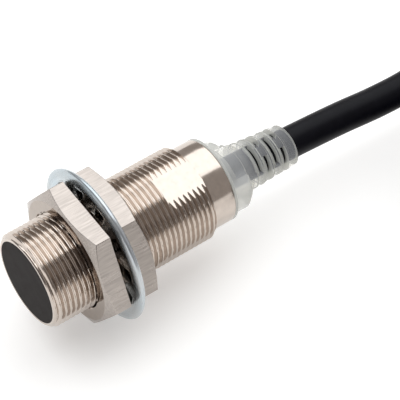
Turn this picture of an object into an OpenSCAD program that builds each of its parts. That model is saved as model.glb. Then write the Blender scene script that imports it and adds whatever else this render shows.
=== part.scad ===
// Cylindrical inductive proximity sensor, M18 x 1, with two nuts, a toothed washer and a lead.
// Millimetres. Origin at the centre of the sensing face, +X along the barrel towards the lead.

/* [Barrel] */
// Outside diameter of the fine thread
thread_d = 18; // [12:0.1:30]
// Thread pitch
pitch = 1; // [0.75:0.25:1.5]
// Threaded length, from the sensing face
thread_len = 34; // [25:0.5:60]
// Whole length of the metal barrel
barrel_len = 38.5; // [30:0.5:70]
// Diameter of the plain collar behind the thread
collar_d = 16.08; // [14:0.02:17]
// Bore of the barrel
bore_d = 14.6; // [12:0.1:15]
// Distance of the milled flat from the axis
flat_height = 8.05; // [7.5:0.05:9]
// Where the milled flat starts, from the sensing face
flat_start = 26; // [20:0.5:32]
// Direction the flat faces, from +Y towards +Z
flat_angle = 108; // [0:1:359]

/* [Nuts and washer] */
// Width of each nut across its flats
nut_af = 24; // [20:0.5:30]
// Thickness of each nut
nut_t = 4; // [3:0.5:6]
// Radial clearance between a nut and the thread crests
nut_clearance = 0.05; // [0.02:0.01:0.1]
// Front face of the front nut, from the sensing face
front_nut_x = 8; // [4:0.5:20]
// Corner direction of the front nut, from +Y towards +Z
front_nut_angle = 6; // [0:1:59]
// Front face of the rear nut, from the sensing face
rear_nut_x = 14.6; // [10:0.1:28]
// Corner direction of the rear nut, from +Y towards +Z
rear_nut_angle = 4; // [0:1:59]
// Outside diameter of the toothed washer
washer_d = 29.2; // [26:0.1:34]
// Thickness of the toothed washer
washer_t = 1.2; // [0.8:0.1:2]
// Number of internal teeth
washer_teeth = 12; // [8:1:20]
// Depth of the gaps between the washer's teeth
tooth_len = 2.9; // [1:0.1:3.5]
// Width of the gaps between the washer's teeth
tooth_gap = 2.4; // [1:0.1:3]

/* [Sensing head] */
// Diameter of the face disc
face_d = 15.6; // [14:0.1:16]
// Thickness of the face disc
face_t = 1.2; // [0.8:0.1:2]
// Length of the plastic cup behind the face
cup_len = 12; // [8:0.5:16]
// Diameter of the ferrite pot core
core_d = 12.4; // [10:0.1:13]
// Length of the ferrite pot core
core_len = 7; // [5:0.5:9]

/* [Electronics] */
// Length of the circuit board
board_len = 19; // [14:0.5:22]
// Width of the circuit board
board_w = 12.6; // [10:0.1:13]
// Thickness of the circuit board
board_t = 0.8; // [0.4:0.1:1.6]

/* [Strain relief] */
// Length of the strain relief outside the barrel
boot_len = 16.5; // [12:0.1:24]
// Thickness of the disc that lies against the barrel's end
boot_disc_t = 0.5; // [0.3:0.1:1]
// Distance from ear to ear of the oblong flange
flange_d = 13.2; // [11:0.1:14]
// Width of the oblong flange
flange_w = 8.4; // [7:0.1:11]
// Direction in which one ear points, from +Y towards +Z
ear_angle = 12; // [0:1:179]
// Diameter of the ringed sleeve at its free end
sleeve_d = 8.3; // [7:0.1:9]
// Width of each slot in the sleeve
slot_w = 1; // [0.5:0.1:1.2]
// Distance between slots
slot_pitch = 1.87; // [1.6:0.01:2.4]
// How far the lead leans off the barrel's axis, in degrees
lean = 2.3; // [0:0.1:5]
// Where the lean starts, from the sensing face
lean_x = 28; // [20:1:36]

/* [Lead] */
// Outside diameter of the lead
lead_d = 6; // [4:0.1:8]
// Diameter of one insulated core
core_wire_d = 1.3; // [1:0.1:2]
// Centre of the coil along X
coil_x = 112; // [90:1:160]
// Centre of the coil along Y
coil_y = -43; // [-80:1:-30]
// Mean radius of the coil's turns
coil_r = 34.1; // [30:0.1:40]
// Turns side by side and turns stacked
coil_rows = 3; // [2:1:4]
// Distance between neighbouring turns
coil_pitch = 6.1; // [6:0.1:7]
// Thickness of the tie's strap
tie_t = 0.65; // [0.5:0.05:1.2]
// Width of the tie's strap
tie_w = 3.6; // [2.5:0.1:5]

/* [Hidden] */
$fn = 64;
gap = 0.05;
thread_r = thread_d / 2;
root_r = thread_r - 0.6134 * pitch;
collar_r = collar_d / 2;
bore_r = bore_d / 2;
nut_bore_r = thread_r + nut_clearance;
nut_corner_r = nut_af / 2 / cos(30);
nut_face_r = nut_af / 2 * 0.96;
nut_bevel = (nut_corner_r - nut_face_r) * tan(27);
washer_r = washer_d / 2;
washer_x = rear_nut_x - gap - washer_t;
washer_bore_r = thread_r + 0.3;
cup_r = bore_r - gap;
core_r = core_d / 2;
core_x = face_t + 0.4;
winding_in_r = 3.8;
board_x = core_x + core_len + 2.4;
board_end_x = board_x + board_len;
insert_r = bore_r - 0.1;
insert_x = barrel_len - 4.1;
plug_x = board_end_x + 0.8;
slot_angles = [119, 200];
slot_openings = [90, 146];
lead_r = lead_d / 2;
lead_bore_r = lead_r + 0.03;
stub_x = insert_x + 1.6;
stub_end_x = barrel_len + boot_len + 1.2;
lean_dir = [0, -0.824, -0.567];
floor_z = -washer_r;
coil_half = coil_rows * coil_pitch / 2;
coil_low_z = floor_z + tie_t + 0.15;
coil_mid_z = coil_low_z + coil_half;
lead_floor_z = coil_low_z + coil_pitch / 2;
wire_y = [-1.6, 0, 1.6];
wire_z = board_t / 2 + core_wire_d / 2 + gap;

// Routes are points along the lead's middle, in millimetres.
run_route = [
    [56, -0.9, -0.65], [62, -1.15, -0.8], [68, -1.4, -0.9], [75, -1.9, -0.95], [82, -2.3, -0.7],
    [90, -2.6, 0.3], [98, -2.8, 1.2], [106, -2.8, 1.45], [112, -2.8, 1.45]
];
tail_route = [
    [84, -43, lead_floor_z], [87, -32.7, lead_floor_z], [94.4, -25.4, lead_floor_z],
    [103.3, -21.9, lead_floor_z], [112, -21.1, lead_floor_z], [119.5, -22.4, lead_floor_z]
];
wire_floor_z = floor_z + core_wire_d / 2;
brown_route = [
    [119.9, -21.1, lead_floor_z], [124, -23.5, -12], [129, -28.5, wire_floor_z],
    [132, -35, wire_floor_z], [133, -42, wire_floor_z], [132, -49, wire_floor_z]
];
blue_route = [
    [119.1, -23.7, lead_floor_z], [122, -27.5, -12], [123, -33, wire_floor_z],
    [122, -39, wire_floor_z], [119, -44, wire_floor_z], [115, -48, wire_floor_z]
];
black_route = [
    [119.5, -22.4, lead_floor_z], [123.5, -25.5, -12], [126.5, -30.5, wire_floor_z],
    [128, -37, wire_floor_z], [127.5, -44, wire_floor_z], [125, -50, wire_floor_z]
];

nickel = [0.78, 0.75, 0.71];
zinc = [0.76, 0.80, 0.84];
charcoal = [0.2, 0.19, 0.19];
ferrite = [0.16, 0.16, 0.18];
copper = [0.76, 0.42, 0.22];
board_green = [0.08, 0.32, 0.2];
chip_black = [0.1, 0.1, 0.11];
milky = [0.78, 0.82, 0.8, 0.7];
cable_black = [0.07, 0.07, 0.1];

// Turns a shape drawn up the Z axis so that it lies along +X, its own x and y becoming Y and Z.
module along_x(x = 0) {
    translate([x, 0, 0])
        rotate([90, 0, 90])
            children();
}

// Turns +X onto the direction in which the lead leaves the barrel.
module leaning() {
    translate([lean_x, 0, 0])
        rotate([0, asin(-lean_dir[2] * sin(lean)), asin(lean_dir[1] * sin(lean))])
            translate([-lean_x, 0, 0])
                children();
}

module tube(x, len, outer, inner) {
    along_x(x)
        difference() {
            cylinder(h = len, r = outer);
            translate([0, 0, -1])
                cylinder(h = len + 2, r = inner);
        }
}

// A block from corner to corner, for parts that sit on the board.
module chip(x, y, z, size) {
    translate([x, y - size[1] / 2, z])
        cube(size);
}

function unit(v) = v / norm(v);
function along(path, i) = unit(path[min(i + 1, len(path) - 1)] - path[max(i - 1, 0)]);
function ring(path, i, r, sides) =
    let(t = along(path, i), s = unit(cross(t, [0, 0, 1])), u = cross(s, t))
    [for (k = [0 : sides - 1]) path[i] + r * (cos(360 * k / sides) * s + sin(360 * k / sides) * u)];

// One closed tube along a route of points.
module swept(path, r, sides = 8) {
    n = len(path);
    points = [for (i = [0 : n - 1]) each ring(path, i, r, sides)];
    walls = [
        for (i = [0 : n - 2], k = [0 : sides - 1])
            let(a = i * sides + k, b = i * sides + (k + 1) % sides)
            [a, b, b + sides, a + sides]
    ];
    first = [for (k = [sides - 1 : -1 : 0]) k];
    last = [for (k = [0 : sides - 1]) (n - 1) * sides + k];
    polyhedron(points = points, faces = concat([first], walls, [last]), convexity = 6);
}

// Rings of the thread's true depth and pitch, so that a nut can turn on the crests.
function thread_profile() =
    let(crests = floor(thread_len / pitch) - 1)
    [
        for (k = [0 : crests - 1], p = [[-0.0625, 0], [0.0625, 0], [0.375, 1], [0.625, 1]])
            [thread_r - p[1] * (thread_r - root_r), (1.25 + k + p[0]) * pitch]
    ];

module barrel() {
    profile = concat(
        [[face_d / 2 + gap, 0], [root_r - 0.1, 0], [root_r, 0.5]],
        thread_profile(),
        [[root_r, thread_len], [collar_r, thread_len], [collar_r, barrel_len - 0.25],
         [collar_r - 0.08, barrel_len - 0.08], [collar_r - 0.25, barrel_len], [bore_r, barrel_len],
         [bore_r, face_t + gap], [face_d / 2 + gap, face_t + gap]]
    );
    color(nickel)
        difference() {
            along_x()
                rotate_extrude()
                    polygon(profile);
            rotate([flat_angle - 90, 0, 0])
                translate([flat_start, -thread_d, flat_height])
                    cube([thread_len - flat_start + 1, 2 * thread_d, thread_d]);
        }
}

// A hexagon nut lying along X, its bevelled face at x = 0.
module bevelled_nut(corner_angle) {
    along_x()
        difference() {
            intersection() {
                rotate([0, 0, corner_angle])
                    cylinder(h = nut_t, r = nut_corner_r, $fn = 6);
                union() {
                    cylinder(h = nut_bevel, r1 = nut_face_r, r2 = nut_corner_r + 0.01);
                    translate([0, 0, nut_bevel])
                        cylinder(h = nut_t - nut_bevel, r = nut_corner_r + 0.01);
                }
            }
            translate([0, 0, -1])
                cylinder(h = nut_t + 2, r = nut_bore_r);
            translate([0, 0, -0.01])
                cylinder(h = 0.4, r1 = nut_bore_r + 0.4, r2 = nut_bore_r);
            translate([0, 0, nut_t - 0.39])
                cylinder(h = 0.4, r1 = nut_bore_r, r2 = nut_bore_r + 0.4);
        }
}

module front_nut() {
    color(nickel)
        translate([front_nut_x, 0, 0])
            bevelled_nut(front_nut_angle);
}

module rear_nut() {
    color(nickel)
        translate([rear_nut_x + nut_t, 0, 0])
            rotate([0, 0, 180])
                bevelled_nut(180 - rear_nut_angle);
}

module toothed_washer() {
    color(zinc)
        along_x(washer_x)
            difference() {
                rotate_extrude()
                    polygon([[washer_bore_r, 0], [washer_r - 0.35, 0], [washer_r, 0.35],
                             [washer_r, washer_t - 0.35], [washer_r - 0.35, washer_t],
                             [washer_bore_r, washer_t]]);
                for (k = [0 : washer_teeth - 1])
                    rotate([0, 0, 360 / washer_teeth * k])
                        translate([washer_bore_r - 1, -tooth_gap / 2, -1])
                            cube([tooth_len + 1, tooth_gap, washer_t + 2]);
            }
}

module sensing_cap() {
    color(charcoal)
        union() {
            along_x()
                cylinder(h = face_t, r = face_d / 2);
            tube(face_t - 0.01, cup_len - face_t, cup_r, cup_r - 0.5);
        }
}

module shield_ring() {
    color(copper)
        tube(core_x, core_len + 1.5, core_r + 0.45, core_r + 0.08);
}

module ferrite_core() {
    color(ferrite)
        difference() {
            tube(core_x, core_len, core_r, 1);
            tube(core_x - 1, core_len - 1, 5.7, 3.1);
            for (y = [-4.5, 4.5])
                translate([0, y, wire_z])
                    along_x(core_x)
                        cylinder(h = core_len + 1, r = 0.5);
        }
}

module coil_bobbin() {
    color([0.85, 0.83, 0.76])
        union() {
            tube(core_x + 0.3, core_len - 2.4, winding_in_r - 0.05, 3.2);
            tube(core_x + 0.3, 0.45, 5.6, 3.2);
            tube(core_x + core_len - 2.55, 0.45, 5.6, 3.2);
        }
}

module coil_winding() {
    color(copper)
        tube(core_x + 0.8, core_len - 3.4, 5.4, winding_in_r);
}

module coil_leads() {
    color(copper)
        for (y = [-4.5, 4.5])
            translate([0, y, wire_z])
                along_x(core_x + core_len - 2)
                    cylinder(h = 6, r = 0.2);
}

module core_holder() {
    color([0.3, 0.3, 0.32])
        difference() {
            along_x(core_x + core_len + 0.05)
                cylinder(h = 2.2, r = core_r);
            for (y = [-4.5, 4.5])
                translate([0, y, wire_z])
                    along_x(core_x + core_len - 1)
                        cylinder(h = 5, r = 0.5);
        }
}

module circuit_board() {
    color(board_green)
        translate([board_x, -board_w / 2, -board_t / 2])
            cube([board_len, board_w, board_t]);
}

module sensor_ic() {
    color(chip_black)
        union() {
            chip(board_x + 3.4, 0, board_t / 2 + 0.1, [5, 4, 1.1]);
            for (side = [-1, 1], k = [0 : 3])
                chip(board_x + 4 + 1.1 * k, side * 2.4, board_t / 2 + 0.01, [0.5, 1.2, 0.25]);
        }
}

module output_transistor() {
    color(chip_black)
        union() {
            chip(board_x + 11, 3.2, board_t / 2 + 0.1, [3, 1.8, 1.1]);
            for (x = [11.2, 13.1])
                chip(board_x + x, 2, board_t / 2 + 0.01, [0.6, 1, 0.25]);
            chip(board_x + 12.2, 4.3, board_t / 2 + 0.01, [0.6, 0.9, 0.25]);
        }
}

module surge_diode() {
    color([0.45, 0.18, 0.12])
        translate([0, -3.4, board_t / 2 + 0.75])
            along_x(board_x + 10.6)
                cylinder(h = 3.4, r = 0.72);
}

module chip_capacitors() {
    color([0.62, 0.5, 0.36])
        for (k = [0 : 3])
            chip(board_x + 3 + 3.4 * k, -3, -board_t / 2 - 1.01, [2, 1.25, 1]);
}

module chip_resistors() {
    color(chip_black)
        for (k = [0 : 4])
            chip(board_x + 2.4 + 2.9 * k, 3, -board_t / 2 - 0.56, [1.6, 0.8, 0.55]);
}

module indicator_leds() {
    color([0.95, 0.6, 0.15])
        for (side = [-1, 1])
            chip(board_x + 16.4, side * 4.4, board_t / 2 + 0.01, [1.6, 1.2, 1.1]);
}

module resin_plug() {
    color([0.12, 0.12, 0.13])
        difference() {
            along_x(plug_x)
                cylinder(h = insert_x - plug_x - 0.1, r = bore_r - gap);
            for (y = wire_y)
                translate([0, y, wire_z])
                    along_x(plug_x - 1)
                        cylinder(h = insert_x - plug_x + 2, r = core_wire_d / 2 + gap);
        }
}

module inner_wire(index) {
    translate([0, wire_y[index], wire_z])
        along_x(board_end_x - 2)
            cylinder(h = stub_x - board_end_x + 1.9, r = core_wire_d / 2);
}

module inner_wire_brown() {
    color([0.32, 0.16, 0.08])
        inner_wire(0);
}

module inner_wire_blue() {
    color([0.1, 0.25, 0.6])
        inner_wire(1);
}

module inner_wire_black() {
    color(chip_black)
        inner_wire(2);
}

// Two openings through the sleeve at one place along it, each centred on the given direction.
module slot_pair(x, direction, opening) {
    along_x(x - slot_w / 2)
        for (turn = [0, 180])
            rotate([0, 0, direction + turn - opening / 2])
                rotate_extrude(angle = opening)
                    translate([lead_r - 0.2, 0])
                        square([3, slot_w]);
}

// The outline of the collar ring, the neck and the ringed sleeve, from the barrel's end.
function boot_profile() =
    let(s = sleeve_d / 2, b = barrel_len)
    [
        [0, b + 0.45], [5.7, b + 0.45], [5.7, b + 2.3], [5.3, b + 2.7], [s + 0.7, b + 2.7],
        [s + 0.7, b + 5], [s + 0.6, b + 6.2], [s + 0.4, b + 7.3], [s + 0.35, b + 9],
        [s + 0.15, b + 9.6], [s + 0.15, b + 10.4], [s, b + 11.2], [s, b + boot_len - 0.6],
        [s - 0.2, b + boot_len - 0.15], [s - 0.5, b + boot_len], [0, b + boot_len]
    ];

// Two ears either side of the neck, their rear edges rounded.
module boot_ears() {
    f = flange_d / 2;
    b = barrel_len;
    intersection() {
        along_x()
            rotate_extrude()
                polygon([[0, b + 0.45], [f, b + 0.45], [f, b + 3.6], [f - 0.15, b + 4.1],
                         [f - 0.5, b + 4.5], [f - 1.1, b + 4.8], [0, b + 4.9]]);
        rotate([ear_angle, 0, 0])
            translate([b, -f - 1, -flange_w / 2])
                cube([6, 2 * f + 2, flange_w]);
    }
}

module cable_boot() {
    color(milky)
        difference() {
            union() {
                along_x(insert_x)
                    cylinder(h = barrel_len - insert_x + 0.01, r = insert_r);
                along_x(barrel_len)
                    cylinder(h = boot_disc_t, r = collar_r);
                leaning() {
                    along_x()
                        rotate_extrude()
                            polygon(boot_profile());
                    boot_ears();
                }
            }
            leaning()
                along_x(insert_x - 2)
                    cylinder(h = boot_len + 10, r = lead_bore_r);
            leaning()
                for (k = [0 : 3])
                    slot_pair(barrel_len + 8.1 + slot_pitch * k, slot_angles[k % 2], slot_openings[k % 2]);
        }
}

module lead_stub() {
    color(cable_black)
        leaning()
            along_x(stub_x)
                cylinder(h = stub_end_x - stub_x, r = lead_r);
}

module lead_run() {
    color(cable_black)
        swept(run_route, lead_r, 12);
}

module lead_coil() {
    in_r = coil_r - coil_half;
    out_r = coil_r + coil_half;
    c = 1.7;
    color(cable_black)
        translate([coil_x, coil_y, coil_mid_z])
            rotate_extrude()
                polygon([
                    [in_r + c, -coil_half], [out_r - c, -coil_half], [out_r, c - coil_half],
                    [out_r, coil_half - c], [out_r - c, coil_half], [in_r + c, coil_half],
                    [in_r, coil_half - c], [in_r, c - coil_half]
                ]);
}

module lead_tail() {
    color(cable_black)
        swept(tail_route, lead_r, 12);
}

module coil_tie() {
    inside = 2 * coil_half + 0.3;
    outside = inside + 2 * tie_t;
    color([0.85, 0.85, 0.82])
        translate([coil_x, coil_y, coil_mid_z])
            for (turn = [-110, 20])
                rotate([0, 0, turn])
                    translate([coil_r, 0, 0])
                        union() {
                            difference() {
                                cube([outside, tie_w, outside], center = true);
                                cube([inside, tie_w + 1, inside], center = true);
                            }
                            translate([-3, -3, outside / 2 - 0.01])
                                cube([6, 6, 3.2]);
                        }
}

module end_wire_brown() {
    color([0.32, 0.16, 0.08])
        swept(brown_route, core_wire_d / 2);
}

module end_wire_blue() {
    color([0.1, 0.25, 0.6])
        swept(blue_route, core_wire_d / 2);
}

module end_wire_black() {
    color(chip_black)
        swept(black_route, core_wire_d / 2);
}

module tinned_tips() {
    color([0.8, 0.8, 0.78])
        for (route = [brown_route, blue_route, black_route])
            let(last = len(route) - 1, end = route[last], dir = unit(end - route[last - 1]))
                swept([end + 0.02 * dir, end + 3 * dir, end + 6 * dir], 0.35);
}

barrel();
front_nut();
toothed_washer();
rear_nut();
sensing_cap();
shield_ring();
ferrite_core();
coil_bobbin();
coil_winding();
coil_leads();
core_holder();
circuit_board();
sensor_ic();
output_transistor();
surge_diode();
chip_capacitors();
chip_resistors();
indicator_leds();
resin_plug();
inner_wire_brown();
inner_wire_blue();
inner_wire_black();
cable_boot();
lead_stub();
lead_run();
lead_coil();
lead_tail();
coil_tie();
end_wire_brown();
end_wire_blue();
end_wire_black();
tinned_tips();
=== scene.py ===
"""An M18 inductive proximity sensor: its looks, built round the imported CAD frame. Metres."""

import math

import bmesh
import bpy
from mathutils import Matrix, Vector


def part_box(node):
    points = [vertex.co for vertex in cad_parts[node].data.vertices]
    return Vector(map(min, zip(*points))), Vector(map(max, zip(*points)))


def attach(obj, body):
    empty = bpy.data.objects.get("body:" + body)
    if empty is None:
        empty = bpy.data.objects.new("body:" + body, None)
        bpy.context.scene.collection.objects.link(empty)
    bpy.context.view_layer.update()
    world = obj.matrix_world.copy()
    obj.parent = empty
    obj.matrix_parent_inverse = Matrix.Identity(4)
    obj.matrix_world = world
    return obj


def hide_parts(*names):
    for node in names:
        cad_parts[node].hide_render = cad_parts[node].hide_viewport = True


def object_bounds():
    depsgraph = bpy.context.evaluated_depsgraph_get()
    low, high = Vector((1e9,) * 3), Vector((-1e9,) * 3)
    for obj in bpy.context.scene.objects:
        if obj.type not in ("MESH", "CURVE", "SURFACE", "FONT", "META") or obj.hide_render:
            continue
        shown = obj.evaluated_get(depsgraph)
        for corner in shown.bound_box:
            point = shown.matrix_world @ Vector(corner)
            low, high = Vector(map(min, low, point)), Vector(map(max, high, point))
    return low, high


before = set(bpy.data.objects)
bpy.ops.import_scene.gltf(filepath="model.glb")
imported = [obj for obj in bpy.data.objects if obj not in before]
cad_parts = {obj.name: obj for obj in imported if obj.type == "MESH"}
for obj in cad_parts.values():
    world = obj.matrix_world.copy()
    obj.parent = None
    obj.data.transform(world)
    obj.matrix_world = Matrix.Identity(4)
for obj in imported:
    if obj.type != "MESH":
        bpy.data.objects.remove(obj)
CAD_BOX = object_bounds()

MM = 0.001
TAU = 2 * math.pi


def low(node, axis=0):
    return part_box(node)[0][axis]


def high(node, axis=0):
    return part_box(node)[1][axis]


# ---- sizes, from the frame where it has them ----
BARREL_LEN = high("barrel")
THREAD_R = high("barrel", 1)
PITCH = 1.0 * MM
ROOT_R = THREAD_R - 0.6134 * PITCH
THREAD_LEN = 34 * MM
COLLAR_R = 8.04 * MM
BORE_R = 7.3 * MM
FACE_R = 7.8 * MM
FLAT_START = 26 * MM
FLAT_HEIGHT = 8.05 * MM
FLAT_ANGLE = math.radians(108)
FLOOR_Z = CAD_BOX[0].z
LEAD_R = 3 * MM
LEAN = math.radians(2.3)
LEAN_DIR = Vector((0, -0.824, -0.567))
PIVOT = Vector((28 * MM, 0, 0))
AIM = (Vector((math.cos(LEAN), 0, 0)) + LEAN_DIR * math.sin(LEAN)).normalized()
BOOT_END = BARREL_LEN + 16.5 * MM
EAR_ANGLE = math.radians(12)
WIRE_R = 0.65 * MM


# ---- camera ----
def add_camera():
    azimuth, elevation = math.radians(-36.6), math.radians(49.4)
    target, distance = Vector((34.38, -2.87, 0.26)), 333
    back = Vector((
        math.sin(azimuth) * math.cos(elevation),
        -math.cos(azimuth) * math.cos(elevation),
        math.sin(elevation),
    ))
    data = bpy.data.cameras.new("camera")
    data.lens = 170.9
    data.sensor_width = 36
    data.clip_start = 0.01
    data.clip_end = 10
    camera = bpy.data.objects.new("camera", data)
    camera.location = target * MM + back * distance * MM
    camera.rotation_mode = "QUATERNION"
    camera.rotation_quaternion = (-back).to_track_quat("-Z", "Y")
    bpy.context.collection.objects.link(camera)
    bpy.context.scene.camera = camera


# ---- mesh helpers ----
def link(name, data, body, *nodes):
    piece = bpy.data.objects.new(name, data)
    bpy.context.collection.objects.link(piece)
    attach(piece, body)
    if nodes:
        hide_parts(*nodes)
    return piece


def mesh_from(name, verts, faces, sharp=30):
    """A mesh whose faces look outwards, smooth but for edges sharper than the given angle."""
    mesh = bpy.data.meshes.new(name)
    mesh.from_pydata(verts, [], faces)
    bm = bmesh.new()
    bm.from_mesh(mesh)
    bmesh.ops.remove_doubles(bm, verts=bm.verts, dist=1e-7)
    bmesh.ops.recalc_face_normals(bm, faces=bm.faces)
    bm.to_mesh(mesh)
    bm.free()
    for polygon in mesh.polygons:
        polygon.use_smooth = True
    mesh.set_sharp_from_angle(angle=math.radians(sharp))
    return mesh


def around_x(x, r, angle):
    return (x, r * math.cos(angle), r * math.sin(angle))


def grid_faces(rows, columns, close_rows=True):
    """Quads over a grid whose columns wrap round, and whose rows do too if asked."""
    faces = []
    for i in range(rows if close_rows else rows - 1):
        for j in range(columns):
            a, b = i * columns + j, i * columns + (j + 1) % columns
            c, d = (i + 1) % rows * columns + (j + 1) % columns, (i + 1) % rows * columns + j
            faces.append((a, b, c, d))
    return faces


def lathe(name, outline, angles, sharp=30):
    """A closed outline of (x, r) pairs, or of functions of the angle, turned round the X axis."""
    verts = []
    for point in outline:
        for angle in angles:
            x, r = point(angle) if callable(point) else point
            verts.append(around_x(x, r, angle))
    return mesh_from(name, verts, grid_faces(len(outline), len(angles)), sharp)


def even_angles(count, start=0.0):
    return [start + TAU * k / count for k in range(count)]


def arc(x, r, radius, start, end, steps=4):
    """Points of a round edge in the (x, r) plane, its centre at (x, r), angles in degrees."""
    points = []
    for k in range(steps + 1):
        a = math.radians(start + (end - start) * k / steps)
        points.append((x + radius * math.cos(a), r + radius * math.sin(a)))
    return points


def bevel(piece, width, segments=2, angle=30):
    modifier = piece.modifiers.new("edge", "BEVEL")
    modifier.width = width
    modifier.segments = segments
    modifier.limit_method = "ANGLE"
    modifier.angle_limit = math.radians(angle)
    modifier.harden_normals = False


def on_lean(x):
    """The point at x on the line in which the lead leaves the barrel."""
    return PIVOT + AIM * ((x - PIVOT.x) / AIM.x)


# ---- materials ----
class Nodes:
    """A material's node tree, with short calls for the nodes that it needs."""

    def __init__(self, name):
        self.material = bpy.data.materials.new(name)
        self.material.use_nodes = True
        self.tree = self.material.node_tree
        self.bsdf = self.tree.nodes["Principled BSDF"]
        self.place = self.add("ShaderNodeTexCoord").outputs["Object"]

    def add(self, kind, **settings):
        made = self.tree.nodes.new(kind)
        for key, value in settings.items():
            setattr(made, key, value)
        return made

    def join(self, out, into):
        self.tree.links.new(out, into)

    def set(self, **values):
        for key, value in values.items():
            socket = self.bsdf.inputs[key.replace("_", " ")]
            socket.default_value = (*value, 1) if isinstance(value, tuple) else value

    def stretched(self, scale):
        mapping = self.add("ShaderNodeMapping")
        mapping.inputs["Scale"].default_value = scale
        self.join(self.place, mapping.inputs["Vector"])
        return mapping.outputs["Vector"]

    def noise(self, scale, detail=3.0, stretch=None):
        texture = self.add("ShaderNodeTexNoise")
        texture.inputs["Scale"].default_value = scale
        texture.inputs["Detail"].default_value = detail
        self.join(self.stretched(stretch) if stretch else self.place, texture.inputs["Vector"])
        return texture.outputs["Fac"]

    def ramp(self, value, stops):
        ramp = self.add("ShaderNodeValToRGB")
        elements = ramp.color_ramp.elements
        while len(elements) < len(stops):
            elements.new(0.5)
        for element, (place, colour) in zip(elements, stops):
            element.position = place
            element.color = (*colour, 1)
        self.join(value, ramp.inputs["Fac"])
        return ramp.outputs["Color"]

    def between(self, value, low_value, high_value):
        spread = self.add("ShaderNodeMapRange")
        spread.inputs["To Min"].default_value = low_value
        spread.inputs["To Max"].default_value = high_value
        self.join(value, spread.inputs["Value"])
        return spread.outputs["Result"]

    def off_axis(self, start, end):
        """0 nearer to the barrel's axis than start, 1 further than end."""
        flat = self.add("ShaderNodeVectorMath", operation="MULTIPLY")
        flat.inputs[1].default_value = (0, 1, 1)
        self.join(self.place, flat.inputs[0])
        length = self.add("ShaderNodeVectorMath", operation="LENGTH")
        self.join(flat.outputs["Vector"], length.inputs[0])
        spread = self.add("ShaderNodeMapRange")
        spread.inputs["From Min"].default_value = start
        spread.inputs["From Max"].default_value = end
        self.join(length.outputs["Value"], spread.inputs["Value"])
        return spread.outputs["Result"]

    def bump(self, height, distance, strength=1.0, after=None):
        made = self.add("ShaderNodeBump")
        made.inputs["Distance"].default_value = distance
        made.inputs["Strength"].default_value = strength
        self.join(height, made.inputs["Height"])
        if after:
            self.join(after, made.inputs["Normal"])
        return made.outputs["Normal"]


def nickel(name, tint, rough, grain=None):
    """Satin nickel plate: fine mottling, and milling lines along one axis if asked."""
    n = Nodes(name)
    n.set(Metallic=1.0)
    lines = n.noise(1, 2, grain) if grain else n.noise(900, 4)
    dark, pale = (0.86, 1.12) if grain else (1.0, 1.12)
    stops = [(0.3, tuple(c * dark for c in tint)), (0.7, tuple(c * pale for c in tint))]
    n.join(n.ramp(lines, stops), n.bsdf.inputs["Base Color"])
    n.join(n.between(n.noise(350, 3), *rough), n.bsdf.inputs["Roughness"])
    normal = n.bump(n.noise(5000, 2), 0.004 * MM, 0.5)
    if grain:
        normal = n.bump(lines, 0.02 * MM, 0.8, normal)
    n.join(normal, n.bsdf.inputs["Normal"])
    return n.material


def zinc(name):
    """Bright zinc plate, its passivation drifting from blue to green, its rim finely turned."""
    n = Nodes(name)
    n.join(n.between(n.off_axis(12.9 * MM, 13.5 * MM), 1.0, 0.72), n.bsdf.inputs["Metallic"])
    tints = [(0.3, (0.47, 0.55, 0.60)), (0.55, (0.57, 0.60, 0.61)), (0.8, (0.49, 0.53, 0.62))]
    n.join(n.ramp(n.noise(120, 3), tints), n.bsdf.inputs["Base Color"])
    n.join(n.between(n.off_axis(12.5 * MM, 13.1 * MM), 0.13, 0.25), n.bsdf.inputs["Roughness"])
    turning = n.add("ShaderNodeTexWave", wave_type="RINGS", rings_direction="X")
    turning.inputs["Scale"].default_value = 800
    turning.inputs["Distortion"].default_value = 3
    n.join(n.place, turning.inputs["Vector"])
    rings = n.bump(turning.outputs["Fac"], 0.012 * MM, 0.7)
    n.join(n.bump(n.noise(2500, 3), 0.004 * MM, 0.6, rings), n.bsdf.inputs["Normal"])
    return n.material


def moulded(name, colour, rough=0.5, speckle=0.08, grain=4000, depth=0.01, shine=0.5):
    """A moulded plastic: faint speckle in its colour, and a fine eggshell surface."""
    n = Nodes(name)
    n.set(Specular_IOR_Level=shine)
    dark = tuple(c * (1 - speckle) for c in colour)
    light = tuple(min(1.0, c * (1 + speckle)) for c in colour)
    n.join(n.ramp(n.noise(1500, 3), [(0.35, dark), (0.65, light)]), n.bsdf.inputs["Base Color"])
    n.join(n.between(n.noise(500, 2), rough - 0.06, rough + 0.06), n.bsdf.inputs["Roughness"])
    n.join(n.bump(n.noise(grain, 2), depth * MM, 0.6), n.bsdf.inputs["Normal"])
    return n.material


def metal(name, colour, rough=0.3, grain=3000):
    n = Nodes(name)
    n.set(Metallic=1.0)
    n.join(n.ramp(n.noise(800, 3), [(0.3, tuple(c * 0.88 for c in colour)), (0.7, colour)]),
           n.bsdf.inputs["Base Color"])
    n.join(n.between(n.noise(400, 2), rough - 0.07, rough + 0.07), n.bsdf.inputs["Roughness"])
    n.join(n.bump(n.noise(grain, 2), 0.006 * MM, 0.5), n.bsdf.inputs["Normal"])
    return n.material


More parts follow.
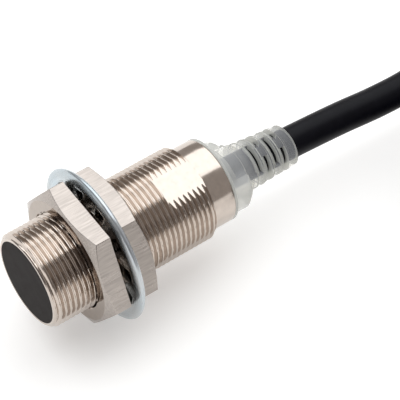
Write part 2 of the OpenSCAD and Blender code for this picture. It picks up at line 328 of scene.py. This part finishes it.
def milky_with_painted_glow(name, alpha):
    """Translucent milky plastic: a clear skin of the given opacity over a cloudy inside, which also
    shines with a painted glow.
    """
    n = Nodes(name)
    n.set(Alpha=alpha)
    n.join(n.ramp(n.noise(260, 3), [(0.3, (0.80, 0.81, 0.77)), (0.7, (0.87, 0.88, 0.84))]),
           n.bsdf.inputs["Base Color"])
    n.join(n.between(n.noise(700, 2), 0.25, 0.35), n.bsdf.inputs["Roughness"])
    n.join(n.bump(n.noise(1800, 2), 0.008 * MM, 0.5), n.bsdf.inputs["Normal"])
    cloud = n.add("ShaderNodeVolumeScatter")
    cloud.inputs["Color"].default_value = (0.74, 0.77, 0.90, 1)
    cloud.inputs["Density"].default_value = 180
    # painted glow: the inside emits light of its own, standing in for light scattered through the
    # plastic
    painted_glow = n.add("ShaderNodeEmission")
    painted_glow.inputs["Color"].default_value = (0.88, 0.90, 0.96, 1)
    painted_glow.inputs["Strength"].default_value = 46
    cloud_and_painted_glow = n.add("ShaderNodeAddShader")
    n.join(cloud.outputs["Volume"], cloud_and_painted_glow.inputs[0])
    n.join(painted_glow.outputs["Emission"], cloud_and_painted_glow.inputs[1])
    n.join(cloud_and_painted_glow.outputs["Shader"], n.tree.nodes["Material Output"].inputs["Volume"])
    return n.material


def wound(name, colour):
    """Enamelled winding wire: close turns along X, with painted shade in the grooves between them.
    """
    n = Nodes(name)
    n.set(Metallic=0.8)
    turns_and_groove_shade = n.add("ShaderNodeTexWave", wave_type="BANDS", bands_direction="X")
    turns_and_groove_shade.inputs["Scale"].default_value = 1500
    n.join(n.place, turns_and_groove_shade.inputs["Vector"])
    # painted shade: each turn darkens to 0.4 of its colour in the groove between it and the next
    n.join(n.ramp(turns_and_groove_shade.outputs["Fac"], [(0.2, tuple(c * 0.4 for c in colour)), (0.7, colour)]),
           n.bsdf.inputs["Base Color"])
    n.join(n.between(n.noise(900, 2), 0.2, 0.35), n.bsdf.inputs["Roughness"])
    n.join(n.bump(turns_and_groove_shade.outputs["Fac"], 0.05 * MM), n.bsdf.inputs["Normal"])
    return n.material


def solder_mask(name):
    """A board's green lacquer over raised copper tracks."""
    n = Nodes(name)
    brick = n.add("ShaderNodeTexBrick")
    brick.inputs["Scale"].default_value = 420
    brick.inputs["Mortar Size"].default_value = 0.06
    n.join(n.place, brick.inputs["Vector"])
    n.join(n.ramp(brick.outputs["Fac"], [(0.0, (0.02, 0.17, 0.08)), (1.0, (0.06, 0.34, 0.16))]),
           n.bsdf.inputs["Base Color"])
    n.join(n.between(n.noise(800, 2), 0.2, 0.34), n.bsdf.inputs["Roughness"])
    n.join(n.bump(brick.outputs["Fac"], 0.03 * MM), n.bsdf.inputs["Normal"])
    return n.material


def sheath(name):
    """Black PVC with a satin skin, faintly drawn along its length."""
    n = Nodes(name)
    n.set(Specular_IOR_Level=0.12)
    n.join(n.ramp(n.noise(500, 3), [(0.3, (0.002, 0.002, 0.004)), (0.7, (0.004, 0.004, 0.007))]),
           n.bsdf.inputs["Base Color"])
    n.join(n.between(n.noise(300, 3), 0.36, 0.46), n.bsdf.inputs["Roughness"])
    n.join(n.bump(n.noise(2600, 3), 0.012 * MM, 0.5), n.bsdf.inputs["Normal"])
    return n.material


# ---- the lead, its wires and its ties ----
RUN_ROUTE = [
    (56, -0.9, -0.65), (62, -1.15, -0.8), (68, -1.48, -0.96), (75, -2.1, -1.09), (82, -2.52, -0.85),
    (90, -2.75, 0.2), (98, -2.8, 1.2), (106, -2.8, 1.45),
]
WIRE_ROUTES = {
    "brown": [
        (119.9, -21.1, -10.75), (124, -23.5, -12), (129, -28.5, -13.95),
        (132, -35, -13.95), (133, -42, -13.95), (132, -49, -13.95),
    ],
    "blue": [
        (119.1, -23.7, -10.75), (122, -27.5, -12), (123, -33, -13.95),
        (122, -39, -13.95), (119, -44, -13.95), (115, -48, -13.95),
    ],
    "black": [
        (119.5, -22.4, -10.75), (123.5, -25.5, -12), (126.5, -30.5, -13.95),
        (128, -37, -13.95), (127.5, -44, -13.95), (125, -50, -13.95),
    ],
}
CORE_COLOURS = {
    "brown": (0.16, 0.055, 0.02),
    "blue": (0.01, 0.07, 0.36),
    "black": (0.012, 0.012, 0.014),
}
COIL_PITCH = 6.1 * MM
COIL_ROWS = 3
TURN_STEPS = 36


def coil_centre():
    lo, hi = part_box("lead_coil")
    return (lo + hi) / 2


def coil_radius():
    """The coil's radius at the middle of its turns."""
    return (high("lead_coil") - low("lead_coil")) / 2 - COIL_ROWS / 2 * COIL_PITCH


def ease(t):
    t = min(1.0, max(0.0, t))
    return t * t * (3 - 2 * t)


def coil_path():
    """Three layers of three turns, clockwise from above. Each turn keeps its own radius until its
    last quarter, and there it steps in, out or down to the next. The last one steps into the hole.
    """
    centre, middle = coil_centre(), coil_radius()
    ring = [middle + COIL_PITCH, middle, middle - COIL_PITCH]
    radii = ring + ring[::-1] + ring + [middle - 2 * COIL_PITCH]
    top = high("lead_coil", 2) - COIL_PITCH / 2
    points = []
    for k in range(COIL_ROWS ** 2 * TURN_STEPS + TURN_STEPS // 12):
        turn = k // TURN_STEPS
        share = ease((k / TURN_STEPS - turn - 0.75) * 4)
        layer = min(turn // COIL_ROWS, COIL_ROWS - 1)
        after = min((turn + 1) // COIL_ROWS, COIL_ROWS - 1)
        last = turn == COIL_ROWS ** 2
        r = radii[turn] if last else radii[turn] + (radii[turn + 1] - radii[turn]) * share
        z = top - COIL_PITCH * (layer + (after - layer) * share)
        angle = math.pi / 2 - k / TURN_STEPS * TAU
        points.append(Vector((centre.x + r * math.cos(angle), centre.y + r * math.sin(angle), z)))
    return points


def smooth_route(points, steps=6):
    """A Catmull-Rom curve through the points."""
    points = [Vector(p) for p in points]
    ends = [2 * points[0] - points[1], *points, 2 * points[-1] - points[-2]]
    found = []
    for a, b, c, d in zip(ends, ends[1:], ends[2:], ends[3:]):
        for k in range(steps):
            t = k / steps
            found.append(0.5 * (2 * b + (c - a) * t + (2 * a - 5 * b + 4 * c - d) * t ** 2
                                + (3 * b - a - 3 * c + d) * t ** 3))
    return [*found, points[-1]]


def tube(name, points, radius, sides, body, *nodes):
    """A closed round tube along the points, its rings carried on from one to the next untwisted."""
    verts = []
    side = Vector((0, 0, 1))
    for k, point in enumerate(points):
        ahead = (points[min(k + 1, len(points) - 1)] - points[max(k - 1, 0)]).normalized()
        side = (side - ahead * side.dot(ahead)).normalized()
        up = ahead.cross(side)
        for angle in even_angles(sides):
            verts.append(point + radius * (math.cos(angle) * side + math.sin(angle) * up))
    faces = grid_faces(len(points), sides, False)
    faces.append(tuple(range(sides)))
    faces.append(tuple(range(len(verts) - sides, len(verts))))
    return link(name, mesh_from(name, verts, faces, 50), body, *nodes)


def add_lead(material):
    """The whole 2 m: straight out of the barrel, up to the coil's top layer, and round it."""
    start = on_lean(BARREL_LEN - 2.4 * MM)
    inside = [start.lerp(Vector(RUN_ROUTE[0]) * MM, k / 4) for k in range(4)]
    coil = coil_path()
    route = inside + [Vector(p) * MM for p in RUN_ROUTE]
    path = smooth_route(route + coil[:1])[:-1] + coil
    lead = tube("supply_lead", path, LEAD_R, 36, "housing",
                "lead_stub", "lead_run", "lead_coil", "lead_tail")
    lead.data.materials.append(material)
    return lead, path


def add_wires():
    """The three cores that leave the lead's bare end, each with its tinned tip."""
    made = []
    tin = metal("tinned_strands", (0.72, 0.71, 0.68), 0.3)
    tip_length, tip_r = 5.9, 0.35 * MM
    for colour, route in WIRE_ROUTES.items():
        points = smooth_route([Vector(p) * MM for p in route])
        for point in points:
            point.z = max(point.z, FLOOR_Z + WIRE_R)
        wire = tube("end_core_" + colour, points, WIRE_R, 20, "housing", "end_wire_" + colour)
        wire.data.materials.append(moulded("core_" + colour, CORE_COLOURS[colour], 0.42))
        end, ahead = points[-1], (points[-1] - points[-2]).normalized()
        tip_points = [end, end + ahead * 3 * MM, end + ahead * tip_length * MM]
        tip = tube("tinned_tip_" + colour, tip_points, tip_r, 16, "housing")
        tip.data.materials.append(tin)
        if colour == "brown":
            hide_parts("tinned_tips")
        made += [wire, tip]
    return made


def add_ties():
    """Two nylon ties round the coil: strap, locking head and cut end."""
    centre, middle = coil_centre(), coil_radius()
    half = COIL_ROWS / 2 * COIL_PITCH + 0.15 * MM
    thick, wide, corner = 0.65 * MM, 3.6 * MM, 1.6 * MM
    head_side, head_tall, end_side, end_length = 5.4 * MM, 3 * MM, 1 * MM, 3 * MM
    bm = bmesh.new()
    for turn in (-110, 20):
        place = (Matrix.Translation(centre) @ Matrix.Rotation(math.radians(turn), 4, "Z")
                 @ Matrix.Translation((middle, 0, 0)))
        loops = []
        for out in (0, thick):
            loop = []
            for quarter in range(4):
                cx, cz = ((1, 1), (-1, 1), (-1, -1), (1, -1))[quarter]
                for k in range(5):
                    a = math.radians(90 * quarter + 22.5 * k)
                    loop.append(((half - corner) * cx + (corner + out) * math.cos(a),
                                 (half - corner) * cz + (corner + out) * math.sin(a)))
            loops.append(loop)
        rings = [[bm.verts.new(place @ Vector((x, y, z))) for x, z in loop]
                 for loop, y in ((loops[0], -wide / 2), (loops[1], -wide / 2),
                                 (loops[1], wide / 2), (loops[0], wide / 2))]
        count = len(rings[0])
        for i in range(4):
            for k in range(count):
                bm.faces.new((rings[i][k], rings[i][(k + 1) % count],
                              rings[(i + 1) % 4][(k + 1) % count], rings[(i + 1) % 4][k]))
        blocks = ((head_side, head_side, (0, 0, 0)), (end_side, end_length, (1.2, 0, 0.1)))
        for across, along, shift in blocks:
            for v in bmesh.ops.create_cube(bm, size=1)["verts"]:
                v.co = place @ Vector((v.co.x * across, v.co.y * along,
                                       half + thick + (0.5 + v.co.z) * head_tall))
                v.co += (place.to_3x3() @ Vector(shift)) * MM
    bmesh.ops.recalc_face_normals(bm, faces=bm.faces)
    mesh = bpy.data.meshes.new("coil_ties")
    bm.to_mesh(mesh)
    bm.free()
    ties = link("coil_ties", mesh, "housing", "coil_tie")
    bevel(ties, 0.12 * MM, 2)
    ties.data.materials.append(moulded("nylon", (0.80, 0.79, 0.74), 0.38))
    return ties


# ---- the barrel ----
def thread_radius(x, angle):
    """A true right-handed thread. Crest and root are shares of half the pitch."""
    crest, root, fullness = 0.125, 0.2, 1.08
    phase = (x / PITCH - angle / TAU) % 1.0
    depth = abs(phase - 0.5) * 2
    share = min(1.0, max(0.0, (1 - depth - root) / (1 - crest - root)))
    return ROOT_R + (THREAD_R - ROOT_R) * min(1.0, share * fullness)


def barrel_radius(x, angle):
    """The thread, cut by a chamfer at each of its ends, and never below the collar."""
    front, front_slope = ROOT_R - 0.1 * MM, 1.05
    rear, rear_slope = ROOT_R - 0.15 * MM, 1.4
    r = min(thread_radius(x, angle), front + max(0.0, x) * front_slope)
    r = min(r, rear + max(0.0, THREAD_LEN - x) * rear_slope)
    return max(r, COLLAR_R)


def flattened(x, r, angle):
    """The radius where the flat is milled into the thread."""
    facing = math.cos(angle - FLAT_ANGLE)
    if x >= FLAT_START and facing > 0.5:
        return min(r, FLAT_HEIGHT / facing)
    return r


def add_barrel(material):
    """Thread, flat, collar, and the bore that takes the sensing face and the strain relief."""
    angles = even_angles(300)
    angles += [(FLAT_ANGLE + math.radians(0.3 * k)) % TAU for k in range(-100, 101)]
    angles = sorted(set(round(a, 5) for a in angles))
    closest = 0.002
    angles = [a for a, b in zip(angles, angles[1:] + [angles[0] + TAU]) if b - a > closest]
    steps_per_pitch = 14
    steps = int(THREAD_LEN / PITCH * steps_per_pitch)
    edge, play = 0.25 * MM, 0.02 * MM
    outline = [(0.0, FACE_R + 0.05 * MM)]
    xs = [THREAD_LEN * k / steps for k in range(steps + 1)]
    xs += [FLAT_START - 0.002 * MM, FLAT_START]
    for x in sorted(xs):
        outline.append(lambda angle, x=x: (x, flattened(x, barrel_radius(x, angle), angle)))
    outline += [(THREAD_LEN + 0.05 * MM, COLLAR_R), (THREAD_LEN + 1.5 * MM, COLLAR_R)]
    outline += [(BARREL_LEN - 1.5 * MM, COLLAR_R)]
    outline += arc(BARREL_LEN - edge, COLLAR_R - edge, edge, 90, 0, 4)
    outline += [(BARREL_LEN, BORE_R + play), (BARREL_LEN - 2 * MM, BORE_R + play)]
    outline += [(1.25 * MM, BORE_R), (1.25 * MM, FACE_R + 0.05 * MM)]
    mesh = lathe("threaded_barrel", outline, angles, 24)
    barrel = link("threaded_barrel", mesh, "housing", "barrel")
    barrel.data.materials.append(material)


# ---- nuts and washer ----
NUT_BORE = 9.06 * MM
NUT_FLAT = 12 * MM
NUT_FACE = 11.52 * MM
NUT_BEVEL = math.radians(27)
NUT_LEAD_IN = 0.4 * MM
WASHER_TEETH = 12
WASHER_BORE = 9.3 * MM
WASHER_GAP_END = 12.2 * MM


def add_nut(name, node, bevelled_at, plain_at, corner_angle, milled, turned):
    """A hexagon nut between two x positions: milled sides, turned faces, and one face bevelled."""
    corner = math.radians(corner_angle)
    angles = []
    for face in range(6):
        for k in range(24):
            angles.append(corner + math.radians(60 * face + 2.5 * k))
    inwards = 1 if plain_at > bevelled_at else -1

    def hexagon(angle):
        across = (angle - corner) % (math.pi / 3) - math.pi / 6
        return NUT_FLAT / math.cos(across)

    def edge(angle):
        r = hexagon(angle)
        return (bevelled_at + inwards * (r - NUT_FACE) * math.tan(NUT_BEVEL), r)

    def side(share):
        """A line round the nut, that share of the way from the bevel's edge to the plain face."""
        return lambda angle: (edge(angle)[0] + share * (plain_at - edge(angle)[0]), hexagon(angle))

    outline = [
        (bevelled_at + inwards * NUT_LEAD_IN, NUT_BORE),
        (bevelled_at, NUT_BORE + NUT_LEAD_IN),
        (bevelled_at, NUT_FACE - 0.5 * MM),
        (bevelled_at, NUT_FACE),
        edge,
        side(0.25),
        side(0.75),
        side(1.0),
        lambda angle: (plain_at, hexagon(angle) - 0.6 * MM),
        (plain_at, NUT_BORE + NUT_LEAD_IN),
        (plain_at - inwards * NUT_LEAD_IN, NUT_BORE),
    ]
    nut = link(name, lathe(name, outline, angles, 25), node, node)
    nut.data.materials.append(milled)
    nut.data.materials.append(turned)
    for polygon in nut.data.polygons:
        across = math.hypot(polygon.center.y, polygon.center.z)
        if abs(polygon.normal.x) > 0.95 or across < NUT_BORE + NUT_LEAD_IN:
            polygon.material_index = 1
    bevel(nut, 0.07 * MM, 2, 25)


def add_washer(material):
    """A flat ring with internal teeth, its rim rounded off further on the front side."""
    front, back = low("toothed_washer"), high("toothed_washer")
    middle = (front + back) / 2
    rim = high("toothed_washer", 1)
    half, roll = (back - front) / 2, 1.6 * MM
    flat = half * 0.9
    ring = WASHER_GAP_END + 0.3 * MM
    gap_share, twist_share = 0.45, 0.25
    angles = even_angles(WASHER_TEETH * 20)

    def inner(side):
        """The inner edge on one side: teeth, a little twisted, and the gaps between them."""
        def place(angle):
            across = abs((angle / TAU * WASHER_TEETH) % 1.0 - 0.5) * 2
            if across > gap_share:
                twist = math.sin(angle * WASHER_TEETH) * twist_share * half
                return (middle + side * flat + twist, WASHER_BORE)
            return (middle + side * flat, WASHER_GAP_END)
        return place

    outline = [inner(-1), (front, ring)]
    for k in range(17):
        a = math.pi * (1 - k / 16)
        depth = roll if k < 8 else half
        outline.append((middle + half * math.cos(a), rim - depth * (1 - math.sin(a))))
    outline += [(back, ring), inner(1)]
    mesh = lathe("lock_washer", outline, angles, 35)
    washer = link("lock_washer", mesh, "washer", "toothed_washer")
    washer.data.materials.append(material)


# ---- strain relief ----
def add_boot():
    """Insert, disc, ring, two ears, neck and ringed sleeve, its slots open down to the lead."""
    start = BARREL_LEN
    bore = LEAD_R + 0.03 * MM
    plug, disc, ear, half_width = BORE_R - 0.25 * MM, 8.05 * MM, 6.6 * MM, 4.2 * MM
    ring, neck, sleeve = 5.6 * MM, 4.75 * MM, 4.08 * MM
    slot, pitch, first = 1.0 * MM, 1.87 * MM, start + 8.1 * MM

    def eared(limit, inner, shorter=0.0):
        """An oblong with round corners, one ear the shorter, blending into a round body."""
        def radius(angle):
            out = math.cos(angle - EAR_ANGLE)
            along = abs(out) / (limit - shorter if out > 0 else limit)
            across = abs(math.sin(angle - EAR_ANGLE)) / half_width
            block = (along ** 4 + across ** 4) ** -0.25
            return inner + 0.5 * (block - inner + math.hypot(block - inner, 0.25 * MM)) - 0.02 * MM
        return radius

    outline = [(start - 4 * MM, bore), (start - 4 * MM, plug), (start + 0.01 * MM, plug)]
    outline += [(start + 0.01 * MM, disc - 0.1 * MM), (start + 0.1 * MM, disc)]
    outline += arc(start + 0.35 * MM, disc - 0.15 * MM, 0.15 * MM, 90, 0, 3)
    straight = len(outline)
    outline += [(start + 0.5 * MM, eared(ear, ring)),
                (start + 2.3 * MM, eared(ear, ring)),
                (start + 2.48 * MM, eared(ear, ring - 0.15 * MM)),
                (start + 2.55 * MM, eared(ear, neck + 0.4 * MM)),
                (start + 2.7 * MM, eared(ear, neck + 0.15 * MM)),
                (start + 3.2 * MM, eared(ear, neck, 0.15 * MM)),
                (start + 3.6 * MM, eared(ear, neck, 0.5 * MM)),
                (start + 3.9 * MM, eared(ear, neck, 1.1 * MM)),
                (start + 4.1 * MM, eared(ear - 0.1 * MM, neck, 1.7 * MM)),
                (start + 4.4 * MM, eared(ear - 0.3 * MM, neck, 1.7 * MM)),
                (start + 4.65 * MM, eared(ear - 0.75 * MM, neck, 1.3 * MM)),
                (start + 4.85 * MM, eared(ear - 1.3 * MM, neck, 0.7 * MM)),
                (start + 4.95 * MM, neck + 0.08 * MM), (start + 5.05 * MM, neck - 0.02 * MM),
                (start + 6.2 * MM, neck - 0.05 * MM), (start + 7.1 * MM, neck - 0.2 * MM)]
    slots = []
    for k, swell in enumerate((0.34, 0.18, 0.05, 0.0)):
        r = sleeve + swell * MM
        at = first + pitch * k
        a, b = at - slot / 2, at + slot / 2
        lip = r + 0.08 * MM
        outline += [(a - 0.42 * MM, r - 0.1 * MM), (a - 0.3 * MM, lip), (a - 0.04 * MM, lip)]
        slots.append((len(outline), k))
        outline += [(a, r + 0.02 * MM), (b, r + 0.02 * MM)]
        outline += [(b + 0.04 * MM, lip), (b + 0.3 * MM, lip), (b + 0.42 * MM, r - 0.1 * MM)]
    outline += [(BOOT_END - 1.7 * MM, sleeve + 0.04 * MM), (BOOT_END - 0.7 * MM, sleeve)]
    outline += arc(BOOT_END - 0.5 * MM, sleeve - 0.5 * MM, 0.5 * MM, 90, 0, 5)
    outline += [(BOOT_END, bore)]
    outer = len(outline)
    rows = outline + [(outline[i][0], bore) for i in range(outer - 2, 0, -1)]
    count = 144
    angles = even_angles(count)
    verts = []
    for i, (x, r) in enumerate(rows):
        shift = Vector((0, 0, 0)) if 0 < i < straight else on_lean(x) - Vector((x, 0, 0))
        for angle in angles:
            verts.append(Vector(around_x(x, r(angle) if callable(r) else r, angle)) + shift)

    def is_open(row, column):
        """Whether a slot takes away the face here. Every other row of slots is turned."""
        for first_row, k in slots:
            if row == first_row:
                direction, opening = (119, 90) if k % 2 == 0 else (200, 146)
                degrees = (column + 0.5) * 360 / count
                off = abs((degrees - direction + 90) % 180 - 90)
                return off < opening / 2
        return False

    def opposite(row):
        """The row in the bore that lies under this outer one."""
        return 2 * outer - 2 - row

    faces = []
    for i in range(len(rows)):
        j = (i + 1) % len(rows)
        outward_row = i if i < outer else opposite(i) - 1
        for c in range(count):
            if not is_open(outward_row, c):
                d = (c + 1) % count
                faces.append((i * count + c, i * count + d, j * count + d, j * count + c))
    for row, _ in slots:
        a, b = row, row + 1
        ia, ib = opposite(a), opposite(b)
        for c in range(count):
            if is_open(row, c):
                d = (c + 1) % count
                faces.append((a * count + c, a * count + d, ia * count + d, ia * count + c))
                faces.append((b * count + c, b * count + d, ib * count + d, ib * count + c))
                if not is_open(row, (c - 1) % count):
                    faces.append((a * count + c, b * count + c, ib * count + c, ia * count + c))
                if not is_open(row, d):
                    faces.append((a * count + d, b * count + d, ib * count + d, ia * count + d))
    mesh = mesh_from("strain_relief", verts, faces, 28)
    boot = link("strain_relief", mesh, "housing", "cable_boot")
    outer_skin, lining, end_face, ring_edge, shoulder = 0.08, 0.02, 0.65, 0.35, 0.16
    # every one of these materials carries the painted glow inside
    for alpha in (outer_skin, lining, end_face, ring_edge, shoulder):
        boot.data.materials.append(milky_with_painted_glow("milky_%02d" % (100 * alpha), alpha))
    for polygon in boot.data.polygons:
        off_axis = (polygon.center - on_lean(polygon.center.x)).length
        if off_axis < bore + 0.1 * MM:
            polygon.material_index = 1
        elif abs(polygon.normal.x) > 0.7:
            polygon.material_index = 2
        elif off_axis > ring - 0.2 * MM:
            polygon.material_index = 3
        elif polygon.center.x < start + 6.2 * MM:
            polygon.material_index = 4


# ---- CAD nodes that stay, each with its own finish ----
def finish_nodes():
    copper = (0.72, 0.30, 0.13)
    chip = moulded("epoxy_chip", (0.02, 0.02, 0.022), 0.45)
    looks = {
        "sensing_cap": moulded("face_resin", (0.015, 0.011, 0.010), 0.62, 0.06, 5000, 0.006, 0.1),
        "shield_ring": metal("shield_copper", copper, 0.25),
        "ferrite_core": moulded("sintered_ferrite", (0.03, 0.03, 0.033), 0.6),
        "coil_bobbin": moulded("bobbin_resin", (0.72, 0.67, 0.55), 0.45),
        "coil_winding": wound("winding_copper", copper),
        "coil_leads": metal("lead_copper", copper, 0.25),
        "core_holder": moulded("holder_resin", (0.06, 0.06, 0.065), 0.5),
        "circuit_board": solder_mask("solder_mask"),
        "sensor_ic": chip,
        "output_transistor": chip,
        "surge_diode": moulded("diode_glass", (0.35, 0.06, 0.02), 0.2),
        "chip_capacitors": moulded("tan_ceramic", (0.40, 0.25, 0.12), 0.3),
        "chip_resistors": moulded("black_ceramic", (0.02, 0.02, 0.03), 0.3),
        "indicator_leds": moulded("amber_lens", (0.85, 0.35, 0.03), 0.15),
        "resin_plug": moulded("cast_resin", (0.02, 0.02, 0.022), 0.25),
        "inner_wire_brown": moulded("inner_brown", CORE_COLOURS["brown"], 0.42),
        "inner_wire_blue": moulded("inner_blue", CORE_COLOURS["blue"], 0.42),
        "inner_wire_black": moulded("inner_black", CORE_COLOURS["black"], 0.42),
    }
    for node, material in looks.items():
        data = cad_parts[node].data
        if not data.materials:
            data.materials.append(material)
        for k in range(len(data.materials)):
            data.materials[k] = material


# ---- stage ----
def add_floor():
    bm = bmesh.new()
    bmesh.ops.create_grid(bm, x_segments=1, y_segments=1, size=3)
    mesh = bpy.data.meshes.new("floor")
    bm.to_mesh(mesh)
    bm.free()
    floor = bpy.data.objects.new("floor", mesh)
    floor.location.z = FLOOR_Z - 0.2 * MM
    bpy.context.collection.objects.link(floor)
    n = Nodes("floor_paper")
    n.set(Base_Color=(0.80, 0.795, 0.785), Roughness=0.75,
          Emission_Color=(1.0, 0.985, 0.97), Emission_Strength=0.40)
    mesh.materials.append(n.material)


def add_softbox(name, place, aim, size, power, tint=(1, 1, 1)):
    data = bpy.data.lights.new(name, "AREA")
    data.shape = "RECTANGLE"
    data.size, data.size_y = size
    data.energy = power
    data.color = tint
    light = bpy.data.objects.new(name, data)
    light.location = place
    light.rotation_mode = "QUATERNION"
    light.rotation_quaternion = (Vector(aim) - Vector(place)).to_track_quat("-Z", "Y")
    bpy.context.collection.objects.link(light)


def add_world():
    """A dim room, darker on the sensing face's side."""
    world = bpy.data.worlds.new("studio")
    bpy.context.scene.world = world
    world.use_nodes = True
    tree = world.node_tree
    place = tree.nodes.new("ShaderNodeTexCoord")
    split = tree.nodes.new("ShaderNodeSeparateXYZ")
    ramp = tree.nodes.new("ShaderNodeValToRGB")
    ramp.color_ramp.elements[0].position = 0.0
    ramp.color_ramp.elements[0].color = (0.16, 0.15, 0.15, 1)
    ramp.color_ramp.elements[1].position = 0.3
    ramp.color_ramp.elements[1].color = (0.40, 0.375, 0.36, 1)
    tree.links.new(place.outputs["Generated"], split.inputs["Vector"])
    tree.links.new(split.outputs["X"], ramp.inputs["Fac"])
    tree.links.new(ramp.outputs["Color"], tree.nodes["Background"].inputs["Color"])


def add_lights():
    """One wide softbox overhead and behind, which the barrel's upper side mirrors."""
    height = 1.0
    width, depth = 2.6 * height, 1.8 * height
    middle = (0.4 * height, 0.58 * height)
    radiance = 1.75
    add_softbox("overhead", (*middle, height), (*middle, 0), (width, depth),
                radiance * math.pi * width * depth, (0.97, 1.0, 1.02))


add_camera()
lead, lead_path = add_lead(sheath("pvc_sheath"))
wires = add_wires()
ties = add_ties()
add_boot()
add_barrel(nickel("nickel_thread", (0.52, 0.457, 0.407), (0.12, 0.2)))
nut_sides = nickel("nickel_milled", (0.415, 0.375, 0.345), (0.22, 0.34), (250, 3200, 3200))
nut_faces = nickel("nickel_turned", (0.33, 0.28, 0.24), (0.03, 0.06))
add_nut("front_hex_nut", "front_nut", low("front_nut"), high("front_nut"), 6, nut_sides, nut_faces)
add_nut("rear_hex_nut", "rear_nut", high("rear_nut"), low("rear_nut"), 4, nut_sides, nut_faces)
add_washer(zinc("zinc_plate"))
finish_nodes()
add_floor()
add_world()
add_lights()
bpy.context.scene.view_settings.view_transform = "Standard"
